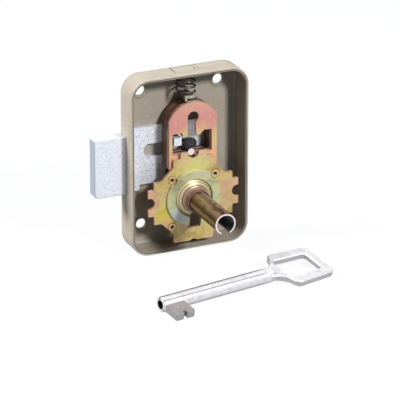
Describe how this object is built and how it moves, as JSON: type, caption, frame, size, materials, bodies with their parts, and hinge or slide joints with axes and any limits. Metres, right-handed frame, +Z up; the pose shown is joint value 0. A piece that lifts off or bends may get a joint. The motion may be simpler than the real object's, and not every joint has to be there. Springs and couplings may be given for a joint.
{
  "type": "cupboard rim lock with pipe key",
  "caption": "Rim lock for a cupboard door, open side showing its lever pack, bolt and drive wheel with key tube, and its pipe key lying in front.",
  "frame": {"origin": "on the key's axis, in the plane of the case's rim, which lies on the door", "axes": "+X to the right along the door, away from the bolt, +Y into the case, away from the door, +Z up"},
  "size_m": [0.0956, 0.0908, 0.09],
  "materials": {
    "case_paint": "satin beige paint",
    "zinc_bolt": "bright zinc plated",
    "dark_steel": "plain steel, oiled",
    "yellow_chromate": "yellow chromate on zinc",
    "green_chromate": "pale chromate on zinc",
    "rivet_brass": "plain brass",
    "tube_chromate": "dark olive chromate",
    "lever_chromate": "iridescent yellow and pink chromate",
    "light_steel": "bright zinc plated",
    "spring_steel": "spring wire",
    "key_nickel": "nickel plated, satin"
  },
  "bodies": {
    "case": {"case": "case_paint", "rod_plate": "case_paint", "guide_post": "dark_steel", "key_pin": "dark_steel", "lever_spring": "spring_steel"},
    "bolt": {"bolt": "zinc_bolt", "bolt_stump": "zinc_bolt"},
    "drive": {"drive_wheel": "yellow_chromate", "wheel_ring": "green_chromate", "wheel_rivets": "rivet_brass", "hub_collar": "rivet_brass", "key_tube": "tube_chromate"},
    "key": {"key": "key_nickel"},
    "lever_1": {"lever_1": "lever_chromate", "spring_seat": "light_steel", "spring_clip": "light_steel", "small_spring": "spring_steel"},
    "lever_2": {"lever_2": "lever_chromate"},
    "lever_3": {"lever_3": "lever_chromate"},
    "lever_4": {"lever_4": "lever_chromate"},
    "lever_5": {"lever_5": "lever_chromate"},
    "lever_6": {"lever_6": "lever_chromate"}
  },
  "joints": [
    {"name": "drive_turn", "type": "hinge", "parent": "case", "child": "drive", "pos_m": [0, 0, 0], "axis": [0, 1, 0], "range_deg": [0, 360]},
    {"name": "bolt_slide", "type": "slide", "parent": "case", "child": "bolt", "axis": [1, 0, 0], "range_m": [0, 0.0152]},
    {"name": "lever_1_lift", "type": "slide", "parent": "case", "child": "lever_1", "axis": [0, 0, 1], "range_m": [-0.002, 0.0015], "stiffness_N_per_m": 200, "deforming": ["lever_spring"]},
    {"name": "lever_2_lift", "type": "slide", "parent": "case", "child": "lever_2", "axis": [0, 0, 1], "range_m": [-0.002, 0.0015]},
    {"name": "lever_3_lift", "type": "slide", "parent": "case", "child": "lever_3", "axis": [0, 0, 1], "range_m": [-0.002, 0.0015]},
    {"name": "lever_4_lift", "type": "slide", "parent": "case", "child": "lever_4", "axis": [0, 0, 1], "range_m": [-0.002, 0.0015]},
    {"name": "lever_5_lift", "type": "slide", "parent": "case", "child": "lever_5", "axis": [0, 0, 1], "range_m": [-0.002, 0.0015]},
    {"name": "lever_6_lift", "type": "slide", "parent": "case", "child": "lever_6", "axis": [0, 0, 1], "range_m": [-0.002, 0.0015]},
    {"name": "key_lift", "type": "slide", "parent": "case", "child": "key", "axis": [0, 0, 1], "range_m": [0, 0.1]}
  ],
  "couplings": [
    {"joint": "drive_turn", "follows": "bolt_slide", "rad_per_m": 413.36},
    {"joint": "lever_2_lift", "follows": "lever_1_lift", "ratio": 1},
    {"joint": "lever_3_lift", "follows": "lever_1_lift", "ratio": 1},
    {"joint": "lever_4_lift", "follows": "lever_1_lift", "ratio": 1},
    {"joint": "lever_5_lift", "follows": "lever_1_lift", "ratio": 1},
    {"joint": "lever_6_lift", "follows": "lever_1_lift", "ratio": 1}
  ]
}
